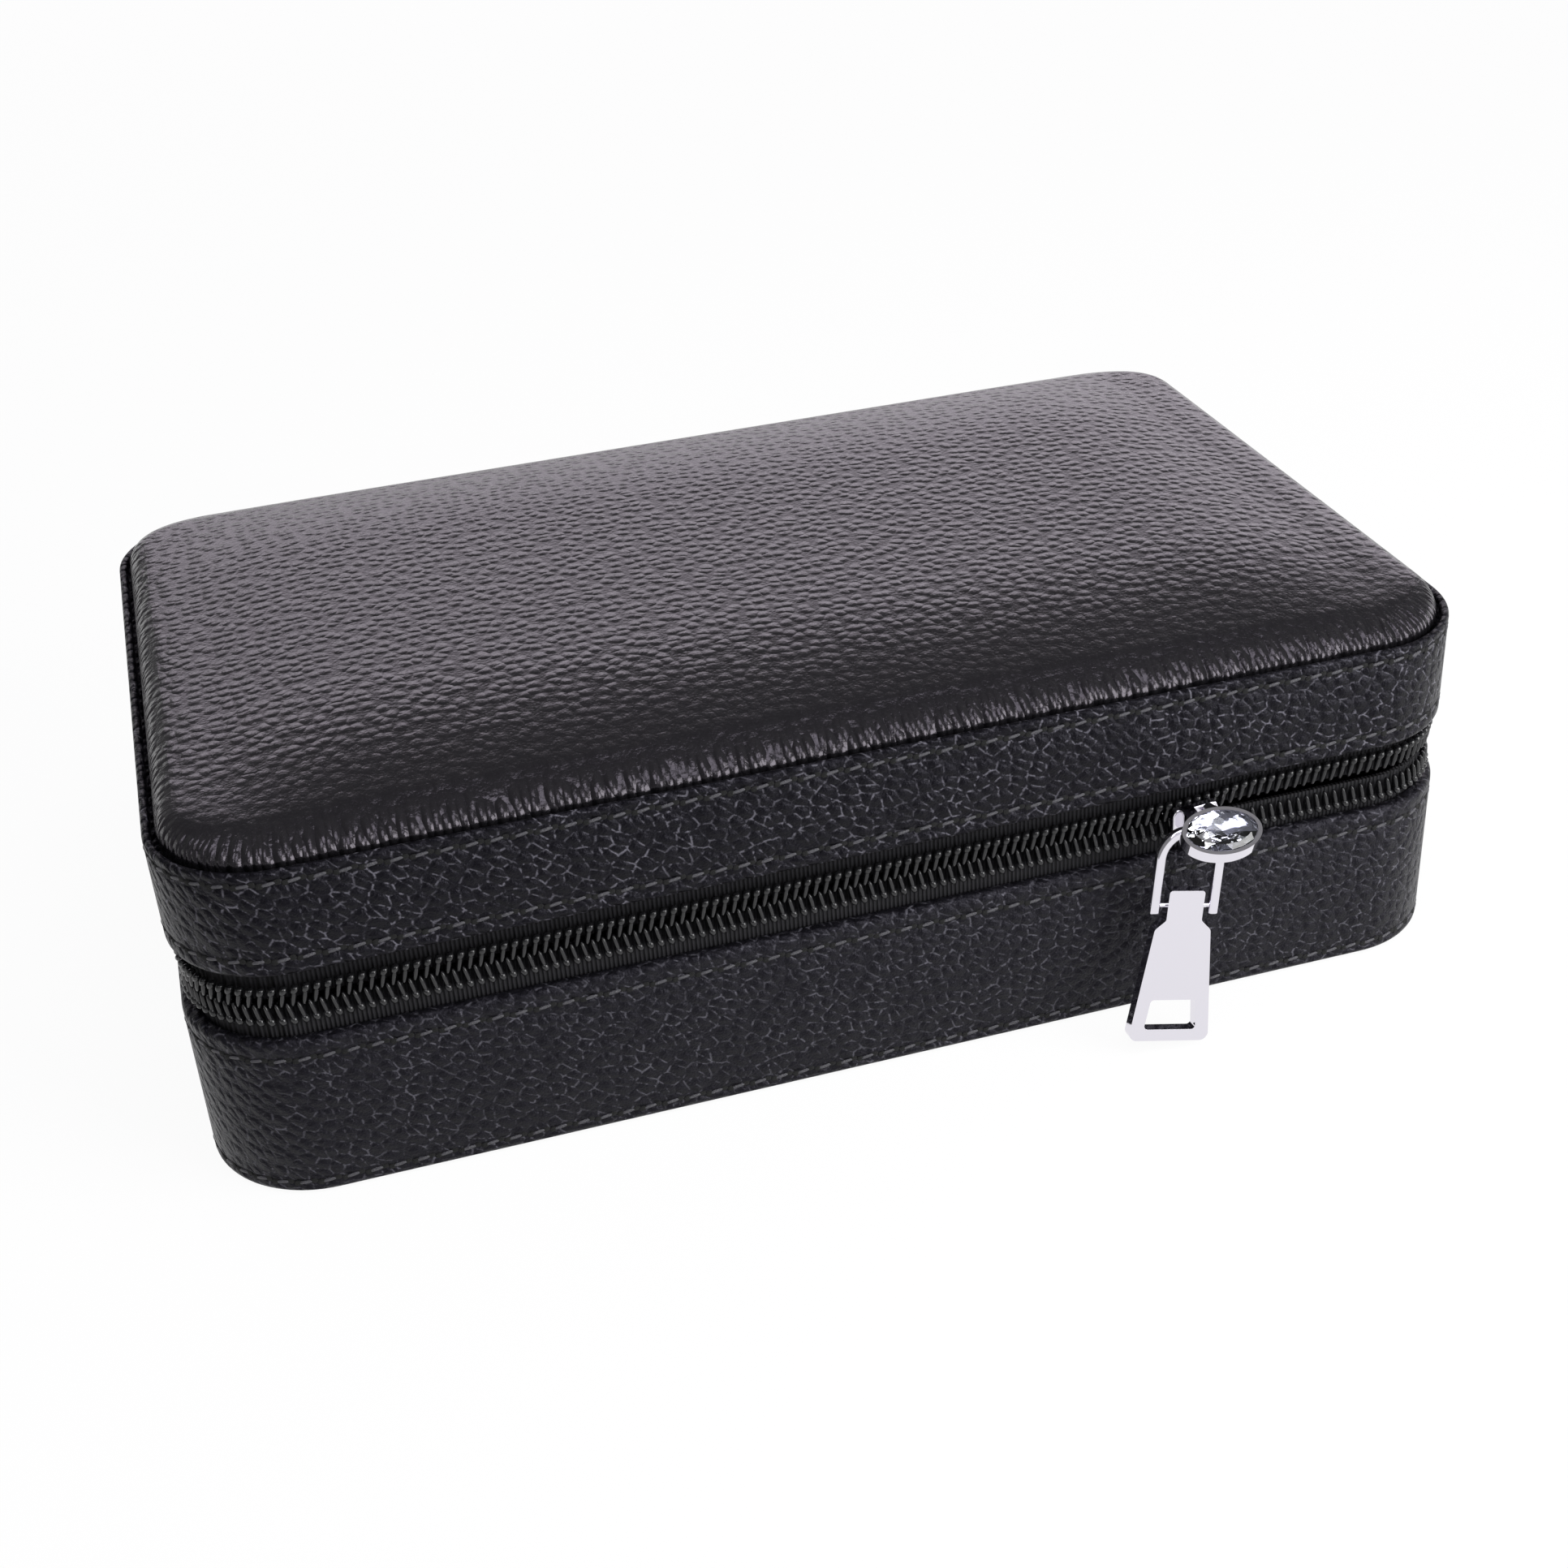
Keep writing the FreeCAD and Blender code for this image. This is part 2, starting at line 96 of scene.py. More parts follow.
# Zip: each turn of a coil is a slanting bar and a fuller round bend, off the chain's line by a fixed
# distance, and by the opening besides where the chain is open
COIL_PITCH, COIL_INSET, COIL_SLANT = 1.553, 1.45, 0.22
COIL_OFF_LINE, COIL_OPENING = 1.25, 1.25
BAR_HALVES, BAR_BULGE = (1.6, 0.4, 0.6), -0.1
BEND_HALVES, BEND_BACK, BEND_OUT = (0.62, 0.62, 0.72), 1.3, 0.12
TAPE_LAP, TAPE_GAP = 6, 0.8
HINGE_ROWS, HINGE_TURN = 28, 4

# Slider: the solids' sizes, with rounder plates and a slimmer post
SLIDER_X, SLIDER_LENGTH, SLIDER_NOSE, SLIDER_TAIL = 51.5, 7.4, 6.2, 5.4
COIL_HEIGHT, PLATE, BACK_PLATE, PLATE_CLEARANCE = 1.4, 1.4, 1.2, 0.3
POST_LENGTH, POST_THICKNESS, POST_FROM_NOSE = 2.4, 1.2, 1.8
PLATE_ROUND, POST_ROUND = 0.3, 0.05
SLIDER_STEPS, FLARE_START, FLARE_POWER = 24, 0.35, 1.3
END_SHARE, END_ROUND = 0.10, 1.0
OPENING_START, OPENING_RUN = SLIDER_X - 3.0, 14.0

# Pull: its hang, its wire and its tab
PULL_LEAN, PULL_YAW, PULL_SKEW = math.radians(11.7), math.radians(4.2), math.radians(9.8)
PIVOT = Vector((49.1, FRONT - 5.0, ZIP_Z + 1.5))
BAIL_REACH, BAIL_TOE, BAIL_HALF, BAIL_BEND = 11.85, 1.3, 4.7, 4.4
BAIL_RADIUS, BAIL_SIDES, BAIL_STEPS, BAIL_END = 0.75, 24, 16, 0.3
BAIL_ROUND, BAIL_ROUND_ANGLE = 0.2, 60
TAB_LENGTH, TAB_THICKNESS = 22.0, 2.0
TAB_ROUND, TAB_ROUND_ANGLE, TAB_CORNER_STEPS = 0.3, 50, 6

# Right halves of the tab's outline and of its window: distance from the middle, height, corner radius
TAB_HALF = ((2.85, 2.6, 0.5), (2.85, -2.2, 0.6), (4.5, -3.7, 0.9), (6.55, -TAB_LENGTH, 1.3))
WINDOW_HALF = ((3.6, 6.8 - TAB_LENGTH, 0.6), (4.2, 1.9 - TAB_LENGTH, 0.6))

# Stone: rings of points from its foot to its table, each with its share of the half sizes, its height,
# its number of points and its turn in shares of a point
STONE_CENTRE, STONE_TILT = Vector((51.2, FRONT - 10.0, ZIP_Z + 4.05)), math.radians(20)
STONE_HALF, STONE_TIP, STONE_SIDES = (5.5, 3.7), -1.25, 8
STONE_RINGS = (
    (0.45, -0.8, STONE_SIDES, 0.5),
    (1.0, 0.0, 2 * STONE_SIDES, 0.0),
    (0.82, 0.62, 2 * STONE_SIDES, 0.5),
    (0.5, 1.1, STONE_SIDES, 0.0),
)

# Inside
ROLL_COUNT, ROLL_SLICES, ROLL_SIDES = 6, 40, 18
ROLL_DRAW, ROLL_DRAW_POWER = 0.10, 8
DIVIDER_ROUND = 0.9

# Grain of the leathers: how it is warped, its size, its relief, its gloss and its reflections' tint
WARP_RATE, WARP_SHARE = 0.5, 0.6
WALL_GRAIN, WALL_DEPTH, WALL_GLOSS = 1.7, 0.28, 0.34
CELL_RANDOMNESS, PEBBLE_RANDOMNESS = 0.9, 0.75
WALL_SPECULAR, WALL_TINT = 0.14, (0.86, 0.83, 1.0, 1)
CREASE_TURN, CREASE_STRETCH = math.radians(-40), (1.5, 1.0, 1.0)
PAD_GRAIN, PAD_DEPTH, PAD_GLOSS = 2.2, 0.16, 0.23
PAD_TINT = (0.96, 0.88, 1.0, 1)
STROKE_STRETCH, STROKE_SHARE, STROKE_HEIGHT = (1.0, 4.0, 1.0), 0.55, 3.0

# Where the pad's grain turns to strokes, by height, and where it flattens and its colour darkens in
# painted shade, by depth, in metres
NOSE_LOW, NOSE_HIGH = 0.0570, 0.0592
TIGHT_SHADE_FRONT, TIGHT_SHADE_BACK, TIGHT_SHADE_LEAST = -0.052, -0.030, 0.4

# Cloth and polish; a wave of scale 1 has a band every 0.314 units
WAVE_BAND, RIB_DEPTH, RIB_WAVER = 0.314, 0.22, 0.3
TAPE_ROUGHNESS, TAPE_SPECULAR = 0.6, 0.15
PILE_DEPTH, PILE_STRENGTH, SHEEN_ROUGHNESS = 0.25, 0.7, 0.4
MARK_SIZE = 2.5
CRYSTAL_IOR = 1.62

# Floor and world, in metres
FLOOR_SIZE, FLOOR_DROP, FLOOR_COLOR, FLOOR_ROUGHNESS = 6, 0.0002, (0.9, 0.9, 0.9), 0.9
FLOOR_SHOWN, WORLD_STRENGTH = 0.94, 0.25
WHITE = (1, 1, 1)

# Lamps, in metres: name, place, target, width and height, power, colour, roll in degrees
LAMPS = (
    ("back", (0.30, 1.05, 0.35), (0, 0, 0.06), (1.5, 0.56), 3.4, (0.98, 0.89, 1.0), 8),
    ("top", (0.05, -0.3, 1.2), (0, 0, 0.03), (1.0, 0.6), 7, (0.95, 0.94, 1.0), 0),
    ("front", (-0.2, -0.75, 0.7), (0, 0, 0.03), (0.12, 0.12), 0.7, WHITE, 0),
    ("right", (0.36, -0.36, 0.22), (0.08, -0.06, 0.03), (0.4, 0.4), 3.4, WHITE, 0),
)

# Camera: its lens in millimetres, its place in metres and its turn in radians
CAMERA_LENS, CAMERA_SENSOR = 50.10, 36
CAMERA_PLACE = (-0.07939, -0.31717, 0.21176)
CAMERA_TURN = (1.02871, 0.05307, -0.28931)


# Mesh helpers

def linked(name, data):
    made = bpy.data.objects.new(name, data)
    bpy.context.scene.collection.objects.link(made)
    return made


def make_object(name, points, faces, material, corners=None):
    """A smooth piece from points in millimetres, with its faces mapped flat where corners are given."""
    mesh = bpy.data.meshes.new(name)
    mesh.from_pydata([(x * MM, y * MM, z * MM) for x, y, z in points], [], faces)
    mesh.materials.append(material)
    mesh.shade_smooth()
    if corners:
        layer = mesh.uv_layers.new(name="flat")
        for loop, (u, v) in enumerate(corners):
            layer.uv[loop].vector = (u * MM, v * MM)
    build = bmesh.new()
    build.from_mesh(mesh)
    bmesh.ops.recalc_face_normals(build, faces=build.faces)
    build.to_mesh(mesh)
    build.free()
    return linked(name, mesh)


def place(piece, body, slot, *nodes):
    """Says which body a piece moves with and which solids it stands for, and hides those solids. Its
    slot, the finish, is not used.
    """
    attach(piece, body)
    if nodes:
        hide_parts(*nodes)


def bevelled(piece, width, angle=35):
    """Rounds a piece's edges for good, keeping its flat faces flat."""
    bevel = piece.modifiers.new("round", "BEVEL")
    bevel.width = width * MM
    bevel.segments = BEVEL_SEGMENTS
    bevel.limit_method = "ANGLE"
    bevel.angle_limit = math.radians(angle)
    bevel.harden_normals = True
    bpy.context.view_layer.update()
    evaluated = piece.evaluated_get(bpy.context.evaluated_depsgraph_get())
    rounded_mesh = bpy.data.meshes.new_from_object(evaluated)
    piece.modifiers.clear()
    piece.data = rounded_mesh
    return piece


def capsule(points, faces, centre, axes, halves, bulge=0.0):
    """Adds a rounded bar that grows fuller towards its far end by bulge, or thinner if negative."""
    long_axis, wide_axis, deep_axis = axes
    half_length, half_width, half_depth = halves
    rings, sides = CAPSULE_RINGS, CAPSULE_SIDES
    start = len(points)
    for ring in range(rings):
        angle = math.pi * (ring + 0.5) / rings
        reach = -math.cos(angle)
        girth = math.sin(angle) ** CAPSULE_FULLNESS * (1 + bulge * max(reach, 0))
        for side in range(sides):
            turn = 2 * math.pi * side / sides
            offset = long_axis * (reach * half_length)
            offset += wide_axis * (girth * half_width * math.cos(turn))
            offset += deep_axis * (girth * half_depth * math.sin(turn))
            points.append(centre + offset)
    for ring in range(rings - 1):
        for side in range(sides):
            a, b = start + ring * sides + side, start + ring * sides + (side + 1) % sides
            faces.append((a, b, b + sides, a + sides))
    faces.append([start + side for side in range(sides)])
    faces.append([start + (rings - 1) * sides + side for side in range(sides)])


def eased(share):
    """A share from 0 to 1 that starts and ends gently."""
    return share * share * (3 - 2 * share)


# The case's outline

def run(start, end, steps, normal):
    """Points and normals of a straight side, without its end."""
    for step in range(steps):
        share = step / steps
        x = start[0] + (end[0] - start[0]) * share
        y = start[1] + (end[1] - start[1]) * share
        yield x, y, *normal


def bend(centre, radius, first, steps):
    """Points and normals of a quarter turn, without its end."""
    for step in range(steps):
        angle = math.radians(first + 90 * step / steps)
        nx, ny = math.cos(angle), math.sin(angle)
        yield centre[0] + radius * nx, centre[1] + radius * ny, nx, ny


def outline(inset):
    """Points and outward normals once round the case, from the middle of the back by the left side."""
    radius = max(CORNER_RADIUS - inset, LEAST_RADIUS)
    x, y = LENGTH / 2 - inset, WIDTH / 2 - inset
    cx, cy = x - radius, y - radius
    half = LONG_STEPS // 2
    points = list(run((0, y), (-cx, y), half, (0, 1)))
    points += bend((-cx, cy), radius, 90, CORNER_STEPS)
    points += run((-x, cy), (-x, -cy), SHORT_STEPS, (-1, 0))
    points += bend((-cx, -cy), radius, 180, CORNER_STEPS)
    points += run((-cx, -y), (cx, -y), LONG_STEPS, (0, -1))
    points += bend((cx, -cy), radius, 270, CORNER_STEPS)
    points += run((x, -cy), (x, cy), SHORT_STEPS, (1, 0))
    points += bend((cx, cy), radius, 0, CORNER_STEPS)
    points += run((cx, y), (0, y), half, (0, 1))
    return points


COUNT = len(outline(0))
ZIP_FIRST = LONG_STEPS // 2 + CORNER_STEPS
ZIP_LAST = COUNT - LONG_STEPS // 2 - CORNER_STEPS
ZIP_RUN = list(range(ZIP_FIRST, ZIP_LAST + 1))
BACK_RUN = list(range(ZIP_LAST, COUNT)) + list(range(0, ZIP_FIRST + 1))

# Corners of a face between two rings of points: steps along the ring and up from it
FACE_CORNERS = ((0, 0), (1, 0), (1, 1), (0, 1))


def travel(points):
    """Length travelled at each point of a line."""
    lengths = [0.0]
    for a, b in zip(points, points[1:]):
        lengths.append(lengths[-1] + math.dist(a[:2], b[:2]))
    return lengths


def sweep(name, profile, material, indices=None):
    """Carries a closed profile of (inset, height) round the case, or along a part of its outline."""
    whole = indices is None
    indices = list(range(COUNT)) if whole else indices
    points, faces, corners = [], [], []
    for inset, z in profile:
        ring = outline(inset)
        points += [(ring[i][0], ring[i][1], z) for i in indices]
    n, rows = len(indices), len(profile)
    ring = outline(0)
    across = travel([ring[i] for i in indices] + ([ring[0]] if whole else []))
    up = travel(profile + [profile[0]])
    for row in range(rows):
        a, b = row * n, (row + 1) % rows * n
        for i in range(n if whole else n - 1):
            j = (i + 1) % n
            faces.append((a + i, a + j, b + j, b + i))
            corners += [(across[i + end], up[row + level]) for end, level in FACE_CORNERS]
    if not whole:
        for first in (0, n - 1):
            faces.append([row * n + first for row in range(rows)])
            corners += profile
    return make_object(name, points, faces, material, corners)


def along(inset, pitch, indices=None):
    """Even steps along the outline: point, tangent and outward normal of each."""
    ring = outline(inset)
    chosen = [ring[i] for i in (indices or list(range(COUNT)) + [0])]
    travelled, steps = 0.0, []
    length = travel(chosen)[-1]
    pitch = length / round(length / pitch)
    target = pitch / 2
    for a, b in zip(chosen, chosen[1:]):
        span = math.dist(a[:2], b[:2])
        while target <= travelled + span:
            share = (target - travelled) / span
            x, y, nx, ny = (p + (q - p) * share for p, q in zip(a, b))
            normal = Vector((nx, ny, 0)).normalized()
            steps.append((Vector((x, y, 0)), Vector((-normal.y, normal.x, 0)), normal))
            target += pitch
        travelled += span
    return steps


# Material helpers

def new_material(name, color, roughness, metallic=0.0):
    material = bpy.data.materials.new(name)
    material.use_nodes = True
    shader = material.node_tree.nodes["Principled BSDF"]
    shader.inputs["Base Color"].default_value = (*color, 1)
    shader.inputs["Roughness"].default_value = roughness
    shader.inputs["Metallic"].default_value = metallic
    return material, material.node_tree, shader


def node(tree, kind, **settings):
    """A new node with its inputs or its options set."""
    made = tree.nodes.new(kind)
    for key, value in settings.items():
        if key in made.inputs.keys():
            made.inputs[key].default_value = value
        else:
            setattr(made, key, value)
    return made


def object_space(tree):
    return node(tree, "ShaderNodeTexCoord").outputs["Object"]


def unrolled(tree):
    """The position on a swept sheet: along it and across it."""
    return node(tree, "ShaderNodeUVMap", uv_map="flat").outputs["UV"]


def ramp(tree, source, low, high, low_value, high_value, interpolation="LINEAR"):
    """Maps the range from low to high onto two values."""
    mapped = node(tree, "ShaderNodeMapRange", interpolation_type=interpolation)
    limits = {"From Min": low, "From Max": high, "To Min": low_value, "To Max": high_value}
    for key, value in limits.items():
        mapped.inputs[key].default_value = value
    tree.links.new(source, mapped.inputs["Value"])
    return mapped.outputs["Result"]


def smooth_ramp(tree, source, low, high, low_value, high_value):
    return ramp(tree, source, low, high, low_value, high_value, "SMOOTHSTEP")


def mix_colors(tree, factor, first, second):
    mixed = node(tree, "ShaderNodeMix", data_type="RGBA")
    tree.links.new(factor, mixed.inputs["Factor"])
    mixed.inputs["A"].default_value = (*first, 1)
    mixed.inputs["B"].default_value = (*second, 1)
    return mixed.outputs["Result"]


def blend_values(tree, factor, first, second):
    mixed = node(tree, "ShaderNodeMix", data_type="FLOAT")
    for source, socket in ((factor, "Factor"), (first, "A"), (second, "B")):
        tree.links.new(source, mixed.inputs[socket])
    return mixed.outputs["Result"]


def combine(tree, operation, first, second):
    result = node(tree, "ShaderNodeMath", operation=operation)
    tree.links.new(first, result.inputs[0])
    tree.links.new(second, result.inputs[1])
    return result.outputs["Value"]


def add(tree, first, second):
    return combine(tree, "ADD", first, second)


def multiply(tree, first, second):
    return combine(tree, "MULTIPLY", first, second)


def stretched(tree, vector, scale, turn=0.0):
    """Coordinates in which a pattern is drawn out along its axes and turned."""
    mapping = node(tree, "ShaderNodeMapping", vector_type="TEXTURE")
    mapping.inputs["Rotation"].default_value = (0, 0, turn)
    mapping.inputs["Scale"].default_value = scale
    tree.links.new(vector, mapping.inputs["Vector"])
    return mapping.outputs["Vector"]


def warped(tree, space, grain):
    """Coordinates shifted a little by noise, so that no two grains are alike."""
    warp = node(tree, "ShaderNodeTexNoise", Scale=WARP_RATE / (grain * MM), Detail=2.0)
    tree.links.new(space, warp.inputs["Vector"])
    shift = node(tree, "ShaderNodeVectorMath", operation="SCALE", Scale=WARP_SHARE * grain * MM)
    tree.links.new(warp.outputs["Color"], shift.inputs[0])
    moved = node(tree, "ShaderNodeVectorMath", operation="ADD")
    tree.links.new(space, moved.inputs[0])
    tree.links.new(shift.outputs["Vector"], moved.inputs[1])
    return moved.outputs["Vector"]


def voronoi(tree, vector, feature, grain, randomness):
    """Cells over the first two coordinates."""
    cells = node(tree, "ShaderNodeTexVoronoi", voronoi_dimensions="2D", feature=feature)
    cells.inputs["Scale"].default_value = 1 / (grain * MM)
    cells.inputs["Randomness"].default_value = randomness
    tree.links.new(vector, cells.inputs["Vector"])
    return cells.outputs["Distance"]


def noise(tree, vector, size, detail, roughness=0.5):
    cloud = node(tree, "ShaderNodeTexNoise", Scale=1 / (size * MM), Detail=detail, Roughness=roughness)
    tree.links.new(vector, cloud.inputs["Vector"])
    return cloud.outputs["Fac"]


def relief(tree, shader, height, depth, strength=1.0):
    bump = node(tree, "ShaderNodeBump", Strength=strength, Distance=depth * MM)
    tree.links.new(height, bump.inputs["Height"])
    tree.links.new(bump.outputs["Normal"], shader.inputs["Normal"])


# Materials

def wall_leather(name, space, dark, light):
    """Leather drawn flat over a board: dark pebbles, with painted highlights in a net of paler,
    slanting, broken lines along the creases between them.
    """
    material, tree, shader = new_material(name, dark, WALL_GLOSS)
    flat = space(tree)
    cells = stretched(tree, warped(tree, flat, WALL_GRAIN), CREASE_STRETCH, CREASE_TURN)
    centres = voronoi(tree, cells, "F1", WALL_GRAIN, CELL_RANDOMNESS)
    domes = smooth_ramp(tree, centres, 0.1, 0.6, 1.0, 0.0)
    wrinkles = noise(tree, flat, WALL_GRAIN / 4, 3.0)
    height = add(tree, domes, ramp(tree, wrinkles, 0.25, 0.75, 0.0, 0.4))
    relief(tree, shader, height, WALL_DEPTH)
    borders = voronoi(tree, cells, "DISTANCE_TO_EDGE", WALL_GRAIN, CELL_RANDOMNESS)
    # The paler crease net, broken up and in patches, is painted highlight where the crease edges catch
    # the light
    net = smooth_ramp(tree, borders, 0.0, 0.12, 1.0, 0.0)
    broken = smooth_ramp(tree, noise(tree, flat, 0.6 * WALL_GRAIN, 2.0), 0.46, 0.6, 0.05, 1.0)
    patches = smooth_ramp(tree, noise(tree, flat, 4 * WALL_GRAIN, 2.0), 0.35, 0.65, 0.35, 1.0)
    painted_crease_highlights = multiply(tree, multiply(tree, net, broken), patches)
    tree.links.new(mix_colors(tree, painted_crease_highlights, dark, light), shader.inputs["Base Color"])
    gloss = ramp(tree, wrinkles, 0.3, 0.7, WALL_GLOSS - 0.06, WALL_GLOSS + 0.08)
    tree.links.new(gloss, shader.inputs["Roughness"])
    shader.inputs["Specular IOR Level"].default_value = WALL_SPECULAR
    shader.inputs["Specular Tint"].default_value = WALL_TINT
    return material


def pad_leather(name, dark, light):
    """Leather over foam: pebbles that flatten towards the front and turn to strokes on the nose, with
    painted shade between them that deepens towards the front.
    """
    material, tree, shader = new_material(name, light, PAD_GLOSS)
    space = object_space(tree)
    pebbles = voronoi(tree, warped(tree, space, PAD_GRAIN), "F1", PAD_GRAIN, PEBBLE_RANDOMNESS)
    pebbles = smooth_ramp(tree, pebbles, 0.05, 0.58, 1.0, 0.0)
    drawn = stretched(tree, unrolled(tree), STROKE_STRETCH)
    strokes = voronoi(tree, drawn, "F1", STROKE_SHARE * PAD_GRAIN, CELL_RANDOMNESS)
    strokes = smooth_ramp(tree, strokes, 0.05, 0.95, 1.0, 0.0)
    level = node(tree, "ShaderNodeSeparateXYZ")
    tree.links.new(space, level.inputs["Vector"])
    nose = smooth_ramp(tree, level.outputs["Z"], NOSE_LOW, NOSE_HIGH, 1.0, 0.0)
    # Flattens the pebbles towards the front, and so darkens the colour there: painted shade
    tight_and_shaded = smooth_ramp(tree, level.outputs["Y"], TIGHT_SHADE_FRONT, TIGHT_SHADE_BACK, TIGHT_SHADE_LEAST, 1.0)
    domes = blend_values(tree, nose, multiply(tree, pebbles, tight_and_shaded), strokes)
    wrinkles = noise(tree, space, PAD_GRAIN / 4, 3.0)
    raised = multiply(tree, domes, ramp(tree, nose, 0.0, 1.0, 1.0, STROKE_HEIGHT))
    height = add(tree, raised, ramp(tree, wrinkles, 0.25, 0.75, 0.0, 0.3))
    relief(tree, shader, height, PAD_DEPTH)
    # Colour paler on the pebbles and strokes and darker between them and over the flattened front:
    # painted shade
    tree.links.new(mix_colors(tree, domes, dark, light), shader.inputs["Base Color"])
    gloss = ramp(tree, wrinkles, 0.3, 0.7, PAD_GLOSS - 0.05, PAD_GLOSS + 0.05)
    tree.links.new(gloss, shader.inputs["Roughness"])
    shader.inputs["Specular Tint"].default_value = PAD_TINT
    return material


def ribbed_tape(name, dark, light, pitch):
    """Woven tape with fine ribs across it, on the runs along X and along Y alike, its colour darker in
    the ribs' hollows as painted shade.
    """
    material, tree, shader = new_material(name, light, TAPE_ROUGHNESS)
    space = object_space(tree)
    bands = []
    for direction in ("X", "Y"):
        wave = node(tree, "ShaderNodeTexWave", bands_direction=direction, Distortion=RIB_WAVER)
        wave.inputs["Scale"].default_value = WAVE_BAND / (pitch * MM)
        tree.links.new(space, wave.inputs["Vector"])
        bands.append(wave.outputs["Fac"])
    ribs = add(tree, *bands)
    relief(tree, shader, ribs, RIB_DEPTH)
    # Darker in the hollows between the ribs: painted shade
    shade = mix_colors(tree, ramp(tree, ribs, 0.0, 2.0, 0.0, 1.0), dark, light)
    tree.links.new(shade, shader.inputs["Base Color"])
    shader.inputs["Specular IOR Level"].default_value = TAPE_SPECULAR
    return material


def cloth(name, dark, light, thread, roughness, sheen):
    """Woven or short-pile cloth with a fine uneven surface."""
    material, tree, shader = new_material(name, light, roughness)
    pile = noise(tree, object_space(tree), thread, 5.0, 0.7)
    tree.links.new(mix_colors(tree, pile, dark, light), shader.inputs["Base Color"])
    relief(tree, shader, pile, PILE_DEPTH, PILE_STRENGTH)
    shader.inputs["Sheen Weight"].default_value = sheen
    shader.inputs["Sheen Roughness"].default_value = SHEEN_ROUGHNESS
    return material


def polished(name, color, roughness, metallic, spread):
    """A smooth finish with faint handling marks in its gloss."""
    material, tree, shader = new_material(name, color, roughness, metallic)
    marks = noise(tree, object_space(tree), MARK_SIZE, 6.0, 0.65)
    worn = ramp(tree, marks, 0.3, 0.7, roughness, roughness + spread)
    tree.links.new(worn, shader.inputs["Roughness"])
    return material


def cut_crystal(name, color, roughness, spread):
    """A polished finish that light passes through."""
    material = polished(name, color, roughness, 0.0, spread)
    shader = material.node_tree.nodes["Principled BSDF"]
    shader.inputs["Transmission Weight"].default_value = 1.0
    shader.inputs["IOR"].default_value = CRYSTAL_IOR
    return material


# Pebble colour and painted crease highlight colour of the walls: lid and base are one leather, the lid's
# copy with brighter painted highlights and darker pebbles
BASE_SHADES = (0.0055, 0.0052, 0.007), (0.08, 0.078, 0.092)
LID_SHADES = (0.002, 0.0018, 0.003), (0.115, 0.111, 0.132)
WALL = wall_leather("base leather", unrolled, *BASE_SHADES)
LID_WALL = wall_leather("lid leather", unrolled, *LID_SHADES)
PANEL = wall_leather("panel leather", object_space, *BASE_SHADES)
PAD = pad_leather("pad leather", (0.004, 0.0038, 0.0048), (0.009, 0.0085, 0.0098))
THREAD = cloth("thread", (0.01, 0.01, 0.012), (0.085, 0.082, 0.095), 0.25, 0.35, 0.0)
# Black for the blobs at the needle holes: painted shade
HOLE_SHADE = cloth("needle hole", (0.0, 0.0, 0.0), (0.002, 0.002, 0.002), 0.25, 0.9, 0.0)
TAPE_CLOTH = ribbed_tape("zip tape", (0.002, 0.002, 0.002), (0.024, 0.0235, 0.027), 0.65)
VELVET = cloth("velvet", (0.02, 0.02, 0.023), (0.055, 0.055, 0.06), 0.3, 0.9, 0.6)
BOARD_PAPER = cloth("black board", (0.004, 0.004, 0.004), (0.012, 0.012, 0.012), 0.6, 0.9, 0.0)
NYLON = polished("zip coil", (0.009, 0.009, 0.01), 0.14, 0.0, 0.06)
CHROME = polished("chrome", (0.76, 0.74, 0.80), 0.04, 1.0, 0.05)
SILVERED = polished("mirror", (0.9, 0.9, 0.91), 0.01, 1.0, 0.02)
CRYSTAL = cut_crystal("crystal", (0.72, 0.74, 0.80), 0.0, 0.01)


# Leather walls, turned over at their edges and dented along the stitching

def arc(inset, z, radius, first, last, steps=EDGE_STEPS):
    """Profile points on part of a circle about a centre at an inset and a height."""
    for step in range(steps + 1):
        angle = math.radians(first + (last - first) * step / steps)
        yield inset - radius * math.cos(angle), z + radius * math.sin(angle)


def outer_face(low, rows):
    """Profile points up the outside of a wall, dented along its rows of stitches."""
    profile = list(arc(EDGE_ROUND, low + EDGE_ROUND, EDGE_ROUND, -90, 0))
    for row in rows:
        profile += [(DENT_DEPTH * share, row + DENT_REACH * way) for way, share in DENT_SHAPE]
    return profile


def base_profile():
    """The base's wall, with both edges turned over."""
    profile = outer_face(0.0, BASE_ROWS)
    profile += arc(EDGE_ROUND, BASE_EDGE - EDGE_ROUND, EDGE_ROUND, 0, 90)
    profile += arc(WRAP - INNER_ROUND, BASE_EDGE - INNER_ROUND, INNER_ROUND, 90, 180)
    profile += [(WRAP, INNER_FOOT)]
    return profile


def lid_profile():
    """The lid's wall, which thins to a narrow round rim beside the pad."""
    profile = outer_face(LID_EDGE, LID_ROWS)
    profile += arc(RIM / 2, RIM_TOP - RIM / 2, RIM / 2, 0, 180, RIM_STEPS)
    step = PAD_SEAT - RIM_STEP
    profile += [(RIM, step), (WRAP, step), (WRAP, LID_EDGE + INNER_FOOT)]
    return profile


